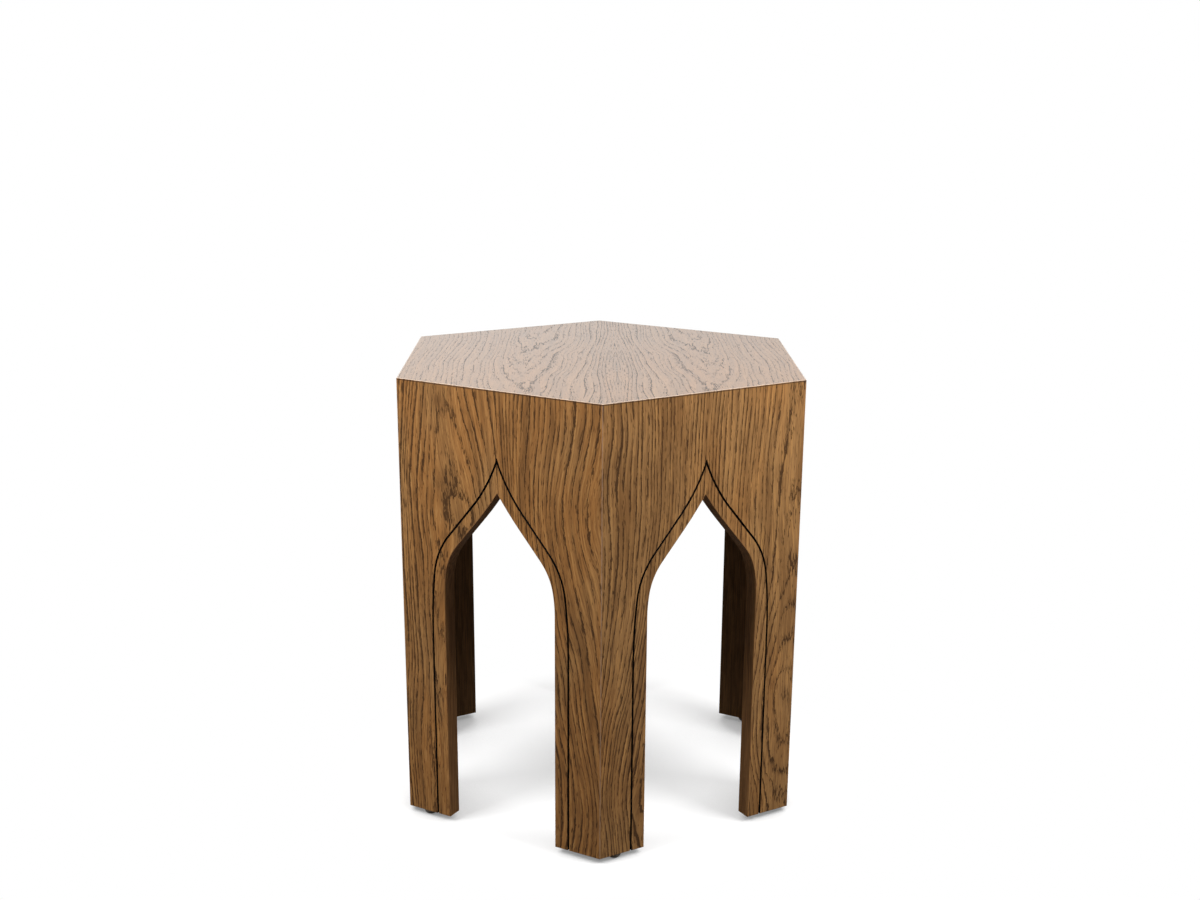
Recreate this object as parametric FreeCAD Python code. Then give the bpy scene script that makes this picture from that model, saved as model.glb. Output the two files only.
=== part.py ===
import FreeCAD, Part
import math
import os

# A hexagonal side table of veneered board, mitred down its legs and round its top.
# Millimetres, +Z up. The origin is on the floor below the middle of the top, and a leg points to -Y.
# Every side piece is drawn in the panel that faces -Y, seen from outside with +X to the right,
# and is then turned about the table's axis to its own side.

# Overall sizes
overall_height = 510.0
across_corners = 505.0

# Board and veneers
board_thickness = 18.0
face_veneer_thickness = 0.6
back_veneer_thickness = 0.6
edging_thickness = 0.6
arris_radius = 0.8
edging_arris_radius = 0.3
veneer_seam_offset = 17.0

# Arch opening: half its width, how far its cusp lies below the top, and its curves. Turns are in degrees
arch_half_width = 70.0
arch_cusp_drop = 109.9
arch_ease_radius = 151.0
arch_ease_turn = 9.94
arch_shoulder_radius = 68.5
arch_shoulder_turn = 30.22
arch_flame_turn = 6.42
flame_start_share = 0.361

# Groove round the arch: its middle line is set out from the arch, and starts to lean in lower down
groove_margin = 16.75
groove_spring_drop = 43.4
groove_ease_radius = 544.3
groove_ease_turn = 7.04
groove_shoulder_radius = 85.6
groove_shoulder_turn = 32.94
groove_flame_turn = 19.41
groove_width = 2.4
groove_depth = 3.0

# Splines in the mitres, measured along and across the glued faces
spline_thickness = 3.0
spline_width = 12.0
spline_slot_clearance = 0.1
leg_spline_from_edge = 12.5
leg_spline_foot_stop = 25.0
leg_spline_head_stop = 12.0
top_spline_from_edge = 15.0
top_spline_end_stop = 20.0

# Glue blocks in the inside corners under the top
glue_block_face = 28.0
glue_block_length = 105.0

# Nail-on glides, one under each leg
glide_radius = 7.75
glide_height = 6.5
glide_rim = 1.0
glide_from_corner = 23.5
nail_radius = 1.1
nail_length = 15.0
nail_hole_clearance = 0.05
nail_hole_extra_depth = 1.0

# How far a cutting shape runs past what it cuts
overrun = 5.0

# The panels and the legs, in order round the table from the front leg
panel_names = ("right_front", "right", "right_back", "left_back", "left", "left_front")
leg_names = ("front", "right_front", "right_back", "back", "left_back", "left_front")
side_turn = 360 / len(panel_names)
half_turn = math.radians(side_turn / 2)

# Sizes worked out from those above
corner_radius = across_corners / 2
apothem = corner_radius * math.cos(half_turn)
foot_level = glide_height
inner_apothem = apothem - board_thickness
inner_corner_radius = inner_apothem / math.cos(half_turn)
underside_level = overall_height - board_thickness
back_veneer_depth = board_thickness - back_veneer_thickness

origin = FreeCAD.Vector(0, 0, 0)
x_axis = FreeCAD.Vector(1, 0, 0)
y_axis = FreeCAD.Vector(0, 1, 0)
up = FreeCAD.Vector(0, 0, 1)


def polygon(corners):
    """Flat face with those corners."""
    return Part.Face(Part.makePolygon(list(corners) + [corners[0]]))


def solid_between(near, far):
    """Solid with flat sides between two flat outlines with the same number of corners."""
    faces = [polygon(near), polygon(far)]
    for i in range(len(near)):
        j = (i + 1) % len(near)
        faces.append(polygon([near[i], near[j], far[j], far[i]]))
    solid = Part.Solid(Part.Shell(faces))
    if solid.Volume < 0:
        solid = solid.reversed()
    return solid


def block(x_span, y_span, z_span):
    """Box between the two values given for each direction."""
    spans = (x_span, y_span, z_span)
    low = [min(span) for span in spans]
    size = [max(span) - min(span) for span in spans]
    return Part.makeBox(*size, FreeCAD.Vector(*low))


def turned(shape, degrees):
    """Copy of a shape, turned about the table's axis."""
    copy = shape.copy()
    copy.rotate(origin, up, degrees)
    return copy


def panel_turn(index):
    """Turn that carries the panel drawn facing -Y to its own side."""
    return (index + 0.5) * side_turn


def across(lean):
    """Unit vector square to an arch's outline, away from the opening, where it leans in by that many degrees."""
    angle = math.radians(lean)
    return FreeCAD.Vector(math.cos(angle), 0, math.sin(angle))


def along(lean):
    """Unit vector along an arch's outline, upwards, where it leans in by that many degrees."""
    angle = math.radians(lean)
    return FreeCAD.Vector(-math.sin(angle), 0, math.cos(angle))


def bend(centre, radius, lean_start, lean_end):
    """Arc between two leans. A negative radius makes it hollow."""
    leans = (lean_start, (lean_start + lean_end) / 2, lean_end)
    return Part.Arc(*[centre + across(lean) * radius for lean in leans]).toShape()


class ArchOutline:
    """Pointed arch: straight jambs, an easing arc, a shoulder arc, a straight haunch, a hollow flame arc, a cusp."""

    def __init__(self, spring_level, half_width, ease_radius, ease_turn, shoulder_radius, shoulder_turn,
                 flame_turn):
        self.spring = FreeCAD.Vector(half_width, 0, spring_level)
        self.ease_radius = ease_radius
        self.ease_centre = self.spring - across(0) * ease_radius
        self.ease_lean = ease_turn
        self.shoulder_radius = shoulder_radius
        self.shoulder_centre = self.ease_centre + across(ease_turn) * (ease_radius - shoulder_radius)
        self.lean = ease_turn + shoulder_turn
        self.haunch_foot = self.shoulder_centre + across(self.lean) * shoulder_radius
        flame_start = flame_start_share * half_width
        haunch_length = (flame_start - self.haunch_foot.x) / along(self.lean).x
        self.haunch_head = self.haunch_foot + along(self.lean) * haunch_length
        cusp_lean = self.lean - flame_turn
        self.flame_radius = flame_start / (across(cusp_lean).x - across(self.lean).x)
        self.flame_centre = self.haunch_head + across(self.lean) * self.flame_radius
        self.cusp_level = self.flame_centre.z - across(cusp_lean).z * self.flame_radius

    def right_half(self, outward):
        """Edges of the right half, from below the foot to the cusp, set outward by that much."""
        shift = across(self.lean) * outward
        head = self.spring + x_axis * outward
        foot = FreeCAD.Vector(head.x, 0, foot_level - overrun)
        flame_radius = outward - self.flame_radius
        cusp_lean = math.degrees(math.acos(-self.flame_centre.x / flame_radius))
        return [
            Part.makeLine(foot, head),
            bend(self.ease_centre, self.ease_radius + outward, 0, self.ease_lean),
            bend(self.shoulder_centre, self.shoulder_radius + outward, self.ease_lean, self.lean),
            Part.makeLine(self.haunch_foot + shift, self.haunch_head + shift),
            bend(self.flame_centre, flame_radius, self.lean, cusp_lean),
        ]

    def plug(self, outward, depth_start, depth_end):
        """Solid that fills the arch, set outward by that much, between two depths into the panel."""
        right = self.right_half(outward)
        left = [edge.mirror(origin, x_axis) for edge in right]
        half_span = self.spring.x + outward
        foot_height = foot_level - overrun
        foot = Part.makeLine(FreeCAD.Vector(-half_span, 0, foot_height), FreeCAD.Vector(half_span, 0, foot_height))
        face = Part.Face(Part.Wire(Part.__sortEdges__(right + left + [foot])))
        face.translate(FreeCAD.Vector(0, depth_start - apothem, 0))
        return face.extrude(FreeCAD.Vector(0, depth_end - depth_start, 0))


arch_curves = {
    "half_width": arch_half_width,
    "ease_radius": arch_ease_radius,
    "ease_turn": arch_ease_turn,
    "shoulder_radius": arch_shoulder_radius,
    "shoulder_turn": arch_shoulder_turn,
    "flame_turn": arch_flame_turn,
}
groove_curves = {
    "half_width": arch_half_width + groove_margin,
    "ease_radius": groove_ease_radius,
    "ease_turn": groove_ease_turn,
    "shoulder_radius": groove_shoulder_radius,
    "shoulder_turn": groove_shoulder_turn,
    "flame_turn": groove_flame_turn,
}
arch_rise = ArchOutline(0, **arch_curves).cusp_level
arch_spring_level = overall_height - arch_cusp_drop - arch_rise
arch = ArchOutline(arch_spring_level, **arch_curves)
groove_line = ArchOutline(arch_spring_level - groove_spring_drop, **groove_curves)


def panel_layer(depth_start, depth_end):
    """Layer of the panel that faces -Y, with its ends and its head mitred, between two depths into it."""
    outlines = []
    for depth in (depth_start, depth_end):
        half_width = (apothem - depth) * math.tan(half_turn)
        y = depth - apothem
        head = overall_height - depth
        places = ((-half_width, foot_level), (half_width, foot_level), (half_width, head), (-half_width, head))
        outlines.append([FreeCAD.Vector(x, y, z) for x, z in places])
    return solid_between(*outlines)


def top_layer(depth_start, depth_end):
    """Layer of the top, with its rim mitred, between two depths below the top face."""
    outlines = []
    for depth in (depth_start, depth_end):
        radius = (apothem - depth) / math.cos(half_turn)
        start = FreeCAD.Vector(0, -radius, overall_height - depth)
        rotations = [FreeCAD.Rotation(up, i * side_turn) for i in range(len(panel_names))]
        outlines.append([rotation.multVec(start) for rotation in rotations])
    return solid_between(*outlines)


def arris_waste(corner, first, second, length):
    """What easing takes off the sharp edge between two faces, which leave the corner along first and second."""
    half_angle = first.getAngle(second) / 2
    inward = (first + second).normalize()
    centre = corner + inward * (arris_radius / math.sin(half_angle))
    rims = []
    for here, other in ((first, second), (second, first)):
        rim = corner + here * (arris_radius / math.tan(half_angle))
        outward = (here * here.dot(other) - other).normalize()
        rims.append((rim, rim + outward * overrun))
    (first_rim, first_far), (second_rim, second_far) = rims
    outline = [
        Part.makeLine(first_rim, first_far),
        Part.makeLine(first_far, corner - inward * (overrun + overrun)),
        Part.makeLine(corner - inward * (overrun + overrun), second_far),
        Part.makeLine(second_far, second_rim),
        Part.Arc(second_rim, centre - inward * arris_radius, first_rim).toShape(),
    ]
    return Part.Face(Part.Wire(outline)).extrude(length)


def leg_arris():
    """Waste from the outer edge of the front leg."""
    corner = FreeCAD.Vector(0, -corner_radius, foot_level - overrun)
    right = FreeCAD.Vector(math.cos(half_turn), math.sin(half_turn), 0)
    left = FreeCAD.Vector(-right.x, right.y, 0)
    return arris_waste(corner, right, left, up * (overall_height + overrun))


def rim_arris():
    """Waste from the edge between the top and the panel that faces -Y."""
    corner = FreeCAD.Vector(-corner_radius, -apothem, overall_height)
    return arris_waste(corner, y_axis, -up, x_axis * across_corners)


def foot_arris():
    """Waste from the outer edge at the feet of the panel that faces -Y."""
    corner = FreeCAD.Vector(-corner_radius, -apothem, foot_level)
    return arris_waste(corner, y_axis, up, x_axis * across_corners)


def eased_panel_piece(piece):
    """A piece of the panel that faces -Y, with the table's outer edges eased."""
    legs = [turned(leg_arris(), side_turn * (i - 0.5)) for i in (0, 1)]
    for waste in [rim_arris(), foot_arris()] + legs:
        piece = piece.cut(waste)
    return piece


def eased_top_piece(piece):
    """A piece of the top, with the table's outer edges eased."""
    for i in range(len(panel_names)):
        piece = piece.cut(turned(rim_arris(), panel_turn(i)))
        piece = piece.cut(turned(leg_arris(), i * side_turn))
    return piece


def leg_spline(clearance):
    """Spline in the upright mitre at the front leg, or its slot where there is a clearance."""
    middle = leg_spline_from_edge - corner_radius
    half_width = spline_width / 2 + clearance
    half_thickness = spline_thickness / 2 + clearance
    foot = foot_level + leg_spline_foot_stop - clearance
    head = underside_level - leg_spline_head_stop + clearance
    return block((-half_width, half_width), (middle - half_thickness, middle + half_thickness), (foot, head))


def top_spline(clearance):
    """Spline in the mitre between the top and the panel that faces -Y, or its slot."""
    inset = top_spline_from_edge * math.sqrt(0.5)
    half_length = (apothem - inset) * math.tan(half_turn) - top_spline_end_stop + clearance
    half_thickness = spline_thickness / 2 + clearance
    half_width = spline_width / 2 + clearance
    spline = block((-half_length, half_length), (-half_thickness, half_thickness), (-half_width, half_width))
    spline.rotate(origin, x_axis, -45)
    spline.translate(FreeCAD.Vector(0, inset - apothem, overall_height - inset))
    return spline


def glide_place():
    """Point on the floor below the glide of the panel that faces -Y: in its left strip, at mid-thickness."""
    half_side = apothem * math.tan(half_turn)
    return FreeCAD.Vector(glide_from_corner - half_side, board_thickness / 2 - apothem, 0)


def nail_hole():
    """Hole for the glide's nail in the foot of the panel that faces -Y."""
    start = glide_place() + up * (foot_level - overrun)
    length = overrun + nail_length + nail_hole_extra_depth
    return Part.makeCylinder(nail_radius + nail_hole_clearance, length, start, up)


def glide():
    """Nail-on glide under the panel that faces -Y: a domed foot with its nail, in one piece."""
    round_radius = glide_height - glide_rim
    contact_radius = glide_radius - round_radius
    round_middle = across(-45) * round_radius + FreeCAD.Vector(contact_radius, 0, round_radius)
    places = {
        "floor_middle": FreeCAD.Vector(0, 0, 0),
        "floor_edge": FreeCAD.Vector(contact_radius, 0, 0),
        "rim_foot": FreeCAD.Vector(glide_radius, 0, round_radius),
        "rim_head": FreeCAD.Vector(glide_radius, 0, glide_height),
        "nail_foot": FreeCAD.Vector(nail_radius, 0, glide_height),
        "nail_side": FreeCAD.Vector(nail_radius, 0, glide_height + nail_length - nail_radius),
        "nail_point": FreeCAD.Vector(0, 0, glide_height + nail_length),
    }
    profile = [
        Part.makeLine(places["floor_middle"], places["floor_edge"]),
        Part.Arc(places["floor_edge"], round_middle, places["rim_foot"]).toShape(),
        Part.makeLine(places["rim_foot"], places["rim_head"]),
        Part.makeLine(places["rim_head"], places["nail_foot"]),
        Part.makeLine(places["nail_foot"], places["nail_side"]),
        Part.makeLine(places["nail_side"], places["nail_point"]),
        Part.makeLine(places["nail_point"], places["floor_middle"]),
    ]
    foot = Part.Face(Part.Wire(profile)).revolve(origin, up, 360)
    foot.translate(glide_place())
    return foot


def glue_block():
    """Block glued into the inside corner at the front leg, up to the underside of the top."""
    corner = FreeCAD.Vector(0, -inner_corner_radius, underside_level - glue_block_length)
    right = FreeCAD.Vector(math.cos(half_turn), math.sin(half_turn), 0) * glue_block_face
    left = FreeCAD.Vector(-right.x, right.y, 0)
    return polygon([corner, corner + right, corner + left]).extrude(up * glue_block_length)


def eased_edging(strip):
    """An arch edging strip with the two long edges that face the opening eased."""
    outer_y = -apothem
    inner_y = board_thickness - apothem
    edges = []
    for edge in strip.Edges:
        middle = edge.valueAt((edge.FirstParameter + edge.LastParameter) / 2)
        on_face = min(abs(middle.y - outer_y), abs(middle.y - inner_y)) < edging_arris_radius / 2
        if on_face and arch_side(edge):
            edges.append(edge)
    return strip.makeFillet(edging_arris_radius, edges)


def arch_side(edge):
    """Whether an edge lies on the arch's own outline, not on the back of the edging or across it."""
    middle = edge.valueAt((edge.FirstParameter + edge.LastParameter) / 2)
    point = Part.Vertex(FreeCAD.Vector(abs(middle.x), 0, middle.z))
    outline = Part.Wire(arch.right_half(0))
    ends_apart = edge.Length > 2 * edging_thickness
    return ends_apart and point.distToShape(outline)[0] < edging_thickness / 4


def face_pieces():
    """The outer veneer of the panel that faces -Y: the field outside the groove, and the border inside it."""
    sheet = eased_panel_piece(panel_layer(0, face_veneer_thickness))
    half_groove = groove_width / 2
    past = face_veneer_thickness + overrun
    field = sheet.cut(groove_line.plug(half_groove, -overrun, past))
    inside = sheet.common(groove_line.plug(-half_groove, -overrun, past))
    border = inside.cut(arch.plug(edging_thickness, -overrun, past))
    return field, border


def edging_pieces():
    """The left and right strips that cover the cut edge of the arch."""
    lined = arch.plug(edging_thickness, 0, board_thickness).cut(arch.plug(0, -overrun, board_thickness + overrun))
    lined = eased_panel_piece(lined.common(panel_layer(0, board_thickness)))
    reach = apothem
    sides = {}
    for name, sign in (("left", -1), ("right", 1)):
        half = block((0, sign * reach), (-apothem - overrun, 0), (0, overall_height))
        strip = lined.common(half).Solids[0]
        sides[name] = eased_edging(strip)
    return sides


def core_board():
    """Core of the panel that faces -Y, with its arch, groove, spline slots and nail hole."""
    core = eased_panel_piece(panel_layer(face_veneer_thickness, back_veneer_depth))
    core = core.cut(arch.plug(edging_thickness, -overrun, board_thickness + overrun))
    half_groove = groove_width / 2
    groove = groove_line.plug(half_groove, -overrun, groove_depth)
    groove = groove.cut(groove_line.plug(-half_groove, -2 * overrun, groove_depth + overrun))
    slots = [turned(leg_spline(spline_slot_clearance), side_turn * (i - 0.5)) for i in (0, 1)]
    for cutter in [groove, top_spline(spline_slot_clearance), nail_hole()] + slots:
        core = core.cut(cutter)
    return core


def back_sheet():
    """Inner veneer of the panel that faces -Y."""
    sheet = panel_layer(back_veneer_depth, board_thickness)
    return sheet.cut(arch.plug(edging_thickness, -overrun, board_thickness + overrun))


def side_pieces():
    """Every piece of the panel that faces -Y, by name."""
    field, border = face_pieces()
    edging = edging_pieces()
    return {
        "core_board": core_board(),
        "face_veneer": field,
        "arch_border_veneer": border,
        "inner_veneer": back_sheet(),
        "arch_edging_left": edging["left"],
        "arch_edging_right": edging["right"],
        "top_spline": top_spline(0),
    }


def top_pieces():
    """The top board with its slots, its underside veneer, and the two leaves that meet at the seam."""
    board = top_layer(face_veneer_thickness, back_veneer_depth)
    for i in range(len(panel_names)):
        board = board.cut(turned(top_spline(spline_slot_clearance), panel_turn(i)))
    leaves = eased_top_piece(top_layer(0, face_veneer_thickness))
    height_span = (underside_level, overall_height + overrun)
    depth_span = (-corner_radius, corner_radius)
    left_of_seam = block((-corner_radius, veneer_seam_offset), depth_span, height_span)
    right_of_seam = block((veneer_seam_offset, corner_radius), depth_span, height_span)
    return {
        "top_board": board,
        "top_underside_veneer": top_layer(back_veneer_depth, board_thickness),
        "top_veneer_left": leaves.common(left_of_seam),
        "top_veneer_right": leaves.common(right_of_seam),
    }


def leg_pieces():
    """The hidden pieces at the front leg, by name."""
    return {"leg_spline": leg_spline(0), "glue_block": glue_block()}


def table_pieces():
    """Every piece of the table in its place, by node name."""
    pieces = top_pieces()
    for name, shape in side_pieces().items():
        for i, panel in enumerate(panel_names):
            pieces[f"{panel}_{name}"] = turned(shape, panel_turn(i))
    for name, shape in leg_pieces().items():
        for i, leg in enumerate(leg_names):
            pieces[f"{leg}_{name}"] = turned(shape, i * side_turn)
    pieces["nail_on_glides"] = Part.makeCompound([turned(glide(), panel_turn(i)) for i in range(len(panel_names))])
    return pieces


os.makedirs("parts", exist_ok=True)
for node, shape in table_pieces().items():
    shape.exportStep(f"parts/{node}.step")
    print(node, len(shape.Solids), "solids", round(shape.Volume), "mm3", "valid" if shape.isValid() else "INVALID")
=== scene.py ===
import logging
import math
from dataclasses import dataclass, replace
from enum import Enum

import bmesh
import bpy
from mathutils import Matrix, Vector


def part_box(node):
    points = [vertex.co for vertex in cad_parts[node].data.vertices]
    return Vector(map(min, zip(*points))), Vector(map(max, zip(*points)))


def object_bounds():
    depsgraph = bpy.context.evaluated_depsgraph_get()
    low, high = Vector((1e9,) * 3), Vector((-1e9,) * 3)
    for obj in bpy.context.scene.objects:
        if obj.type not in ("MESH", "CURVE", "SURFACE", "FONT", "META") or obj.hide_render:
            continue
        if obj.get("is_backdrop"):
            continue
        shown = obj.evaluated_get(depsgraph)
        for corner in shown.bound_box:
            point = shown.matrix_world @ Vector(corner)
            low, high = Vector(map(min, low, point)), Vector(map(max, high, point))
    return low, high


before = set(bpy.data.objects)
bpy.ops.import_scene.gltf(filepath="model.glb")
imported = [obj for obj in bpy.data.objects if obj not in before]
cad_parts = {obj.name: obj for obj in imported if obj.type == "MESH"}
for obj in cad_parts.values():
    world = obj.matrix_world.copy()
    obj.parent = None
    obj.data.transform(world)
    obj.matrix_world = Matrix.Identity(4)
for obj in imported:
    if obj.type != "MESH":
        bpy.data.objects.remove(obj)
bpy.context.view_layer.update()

# A hexagonal side table in brown oak veneer, with a pointed arch and a black groove in each side.
# The solids come from the frame. This script dresses them, and sets them on a white studio floor.
# Sizes are in metres, as in the frame. Inside the wood's finishes they are in millimetres.

log = logging.getLogger("tabouret")

MM_PER_METRE = 1000.0

Socket = bpy.types.NodeSocket
Feed = Socket | float | tuple
Colour = tuple[float, float, float, float]

ORIGIN = (0.0, 0.0, 0.0)

# How a screen's values turn into linear light.
SCREEN_FULL = 255
SCREEN_DARK = 0.04045
SCREEN_DARK_SLOPE = 12.92
SCREEN_LIFT = 0.055
SCREEN_POWER = 2.4


class Side(Enum):
    """The six sides, counted round the table from the right of the front leg."""

    RIGHT_FRONT = "right_front"
    RIGHT = "right"
    RIGHT_BACK = "right_back"
    LEFT_BACK = "left_back"
    LEFT = "left"
    LEFT_FRONT = "left_front"

    @property
    def turn(self) -> float:
        """How far the side is turned from facing straight forward, in radians."""
        return (list(Side).index(self) + 0.5) * SIDE_TURN


SIDE_TURN = math.tau / len(Side)


class Leg(Enum):
    """The six legs, each where two sides meet."""

    FRONT = "front"
    RIGHT_FRONT = "right_front"
    RIGHT_BACK = "right_back"
    BACK = "back"
    LEFT_BACK = "left_back"
    LEFT_FRONT = "left_front"


class GrainRun(Enum):
    """Which way the grain runs in a piece of plain wood."""

    UPRIGHT = "Z"
    FRONT_TO_BACK = "Y"


class Kind(Enum):
    """What a shared effect's input or output carries."""

    NUMBER = "NodeSocketFloat"
    VECTOR = "NodeSocketVector"
    COLOUR = "NodeSocketColor"


def stain(red: int, green: int, blue: int) -> Colour:
    """Colour for a shader from its screen values.

    Args:
        red, green, blue: the colour as a screen shows it, each from 0 to 255.

    Returns:
        The colour in linear light, with an alpha of 1.
    """
    linear = []
    for value in (red, green, blue):
        share = value / SCREEN_FULL
        if share <= SCREEN_DARK:
            linear.append(share / SCREEN_DARK_SLOPE)
        else:
            linear.append(((share + SCREEN_LIFT) / (1 + SCREEN_LIFT)) ** SCREEN_POWER)
    return (*linear, 1.0)


def neutral(level: float) -> Colour:
    """A grey for a shader, from 0, black, to 1, white."""
    return (level, level, level, 1.0)


BLACK = neutral(0.0)
WHITE = neutral(1.0)


@dataclass(frozen=True)
class Marks:
    """How wide and long the marks of a noise are, and how many finer layers it has and how strong.

    The sizes are in millimetres. Only the marks of the years are measured in rings.
    """

    across: float
    along: float
    detail: float = 1.0
    roughness: float = 0.5


@dataclass(frozen=True)
class Step:
    """A smooth step: where it starts and ends, and what it gives there and beyond."""

    low: Feed
    high: Feed
    at_low: Feed = 0.0
    at_high: Feed = 1.0


class NodeSheet:
    """Writes nodes into one tree: a material's, the world's or a shared effect's."""

    # Where a Mix node keeps the share, the two colours and the mixed colour among its sockets.
    MIX_SHARE = 0
    MIX_FIRST = 6
    MIX_SECOND = 7
    MIX_RESULT = 2

    # The value that a noise sways about.
    NOISE_MIDDLE = 0.5

    def __init__(self, tree: bpy.types.NodeTree) -> None:
        """Start on a tree, with nothing in it."""
        tree.nodes.clear()
        self.tree = tree

    def feed(self, socket: Socket, value: Feed) -> None:
        """Link an output to a socket, or set the socket's own value.

        Args:
            socket: the input to fill.
            value: an output of another node, or a plain value.
        """
        if isinstance(value, Socket):
            self.tree.links.new(value, socket)
        else:
            socket.default_value = value

    def node(self, kind: str, inputs: dict[str, Feed] | None = None, **settings: object) -> bpy.types.Node:
        """Make a node.

        Args:
            kind: the node's type.
            inputs: values or outputs for its named inputs.
            settings: its own options.

        Returns:
            The new node.
        """
        made = self.tree.nodes.new(kind)
        for name, value in settings.items():
            setattr(made, name, value)
        for name, value in (inputs or {}).items():
            self.feed(made.inputs[name], value)
        return made

    def math(self, operation: str, *values: Feed) -> Socket:
        """Sum, product or other operation on numbers.

        Args:
            operation: its name.
            values: what goes in, in order.

        Returns:
            The result's socket.
        """
        made = self.node("ShaderNodeMath", operation=operation)
        for socket, value in zip(made.inputs, values):
            self.feed(socket, value)
        return made.outputs[0]

    def vector_math(self, operation: str, *values: Feed) -> bpy.types.Node:
        """Operation on vectors.

        Args:
            operation: its name.
            values: what goes in, in order.

        Returns:
            The node, whose output is called Vector, or Value for a length.
        """
        made = self.node("ShaderNodeVectorMath", operation=operation)
        for socket, value in zip(made.inputs, values):
            self.feed(socket, value)
        return made

    def parts(self, vector: Feed) -> tuple[Socket, ...]:
        """The X, Y and Z of a vector."""
        return tuple(self.node("ShaderNodeSeparateXYZ", {"Vector": vector}).outputs)

    def vector(self, x: Feed, y: Feed, z: Feed) -> Socket:
        """A vector from its X, Y and Z."""
        return self.node("ShaderNodeCombineXYZ", {"X": x, "Y": y, "Z": z}).outputs["Vector"]

    def point_mm(self) -> Socket:
        """The point on the table, in millimetres."""
        point = self.node("ShaderNodeTexCoord").outputs["Object"]
        return self.vector_math("MULTIPLY", point, (MM_PER_METRE,) * 3).outputs["Vector"]

    def turned(self, vector: Feed, angle: Feed) -> Socket:
        """A vector turned about the table's upright axis, by an angle in radians."""
        inputs = {"Vector": vector, "Angle": angle}
        return self.node("ShaderNodeVectorRotate", inputs, rotation_type="Z_AXIS").outputs["Vector"]

    def ease(self, value: Feed, step: Step) -> Socket:
        """What a smooth step gives for a value.

        Args:
            value: the value.
            step: the step.

        Returns:
            The result's socket.
        """
        limits = {
            "Value": value,
            "From Min": step.low,
            "From Max": step.high,
            "To Min": step.at_low,
            "To Max": step.at_high,
        }
        return self.node("ShaderNodeMapRange", limits, interpolation_type="SMOOTHSTEP").outputs["Result"]

    def between(self, share: Feed, first: Feed, second: Feed) -> Socket:
        """A number that eases from one to another as a share goes from 0 to 1."""
        return self.ease(share, Step(0.0, 1.0, first, second))

    def noise(self, place: Feed, detail: float, roughness: float, seed: Feed = 0.0) -> Socket:
        """Soft noise from 0 to 1, in lumps about one unit of the place wide. The seed picks which."""
        inputs = {"Vector": place, "W": seed, "Scale": 1.0, "Detail": detail, "Roughness": roughness}
        return self.node("ShaderNodeTexNoise", inputs, noise_dimensions="4D").outputs["Fac"]

    def marks(self, across: Feed, along: Feed, marks: Marks, seed: Feed = 0.0) -> Socket:
        """Noise in long marks that run with the grain.

        Args:
            across: the point's place across the grain.
            along: its place along the grain.
            marks: how large the marks are.
            seed: which noise it is.

        Returns:
            The noise's socket, from 0 to 1.
        """
        narrowed = self.math("DIVIDE", across, marks.across)
        shortened = self.math("DIVIDE", along, marks.along)
        return self.noise(self.vector(narrowed, 0.0, shortened), marks.detail, marks.roughness, seed)

    def sway(self, noise: Feed, reach: Feed) -> Socket:
        """Noise as a shift to either side, by half of the reach at most."""
        return self.math("MULTIPLY", self.math("SUBTRACT", noise, self.NOISE_MIDDLE), reach)

    def mix(self, share: Feed, first: Feed, second: Feed) -> Socket:
        """Mix of two colours.

        Args:
            share: how much of the second shows.
            first: the first colour.
            second: the second colour.

        Returns:
            The colour's socket.
        """
        made = self.node("ShaderNodeMix", data_type="RGBA")
        self.feed(made.inputs[self.MIX_SHARE], share)
        self.feed(made.inputs[self.MIX_FIRST], first)
        self.feed(made.inputs[self.MIX_SECOND], second)
        return made.outputs[self.MIX_RESULT]

    def blend(self, share: Feed, first: bpy.types.Node, second: bpy.types.Node) -> bpy.types.Node:
        """Mix of two shaders.

        Args:
            share: how much of the second shows.
            first: the first shader's node.
            second: the second shader's node.

        Returns:
            The mix's node.
        """
        mixed = self.node("ShaderNodeMixShader", {"Fac": share})
        self.feed(mixed.inputs[1], first.outputs[0])
        self.feed(mixed.inputs[2], second.outputs[0])
        return mixed


class EffectSheet(NodeSheet):
    """Writes a shared effect: a node group with named inputs and outputs. Each effect is a class.

    The inputs are given with their usual values, where a tuple of three is a vector and one of four
    a colour. The outputs are given with what they carry.
    """

    NAME: str
    INPUTS: dict[str, Feed]
    OUTPUTS: dict[str, Kind]

    def __init__(self) -> None:
        """Make the group and its sockets, and write its nodes."""
        tree = bpy.data.node_groups.new(self.NAME, "ShaderNodeTree")
        super().__init__(tree)
        for label, usual in self.INPUTS.items():
            socket = tree.interface.new_socket(label, in_out="INPUT", socket_type=self.kind(usual).value)
            socket.default_value = usual
        for label, kind in self.OUTPUTS.items():
            tree.interface.new_socket(label, in_out="OUTPUT", socket_type=kind.value)
        self.given = self.node("NodeGroupInput").outputs
        self.result = self.node("NodeGroupOutput").inputs
        self.write()

    def kind(self, usual: Feed) -> Kind:
        """What an input with this usual value carries."""
        size = len(usual) if isinstance(usual, tuple) else 1
        return {1: Kind.NUMBER, len(ORIGIN): Kind.VECTOR, len(WHITE): Kind.COLOUR}[size]

    def write(self) -> None:
        """Write the effect's nodes, which each effect does in its own way."""
        raise NotImplementedError

    def take(self, *names: str) -> tuple[Socket, ...]:
        """Some of the effect's inputs, in the order of their names."""
        return tuple(self.given[name] for name in names)

    def give(self, **results: Feed) -> None:
        """Fill the effect's outputs, named with _ for each space."""
        for name, value in results.items():
            self.feed(self.result[name.replace("_", " ")], value)


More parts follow.
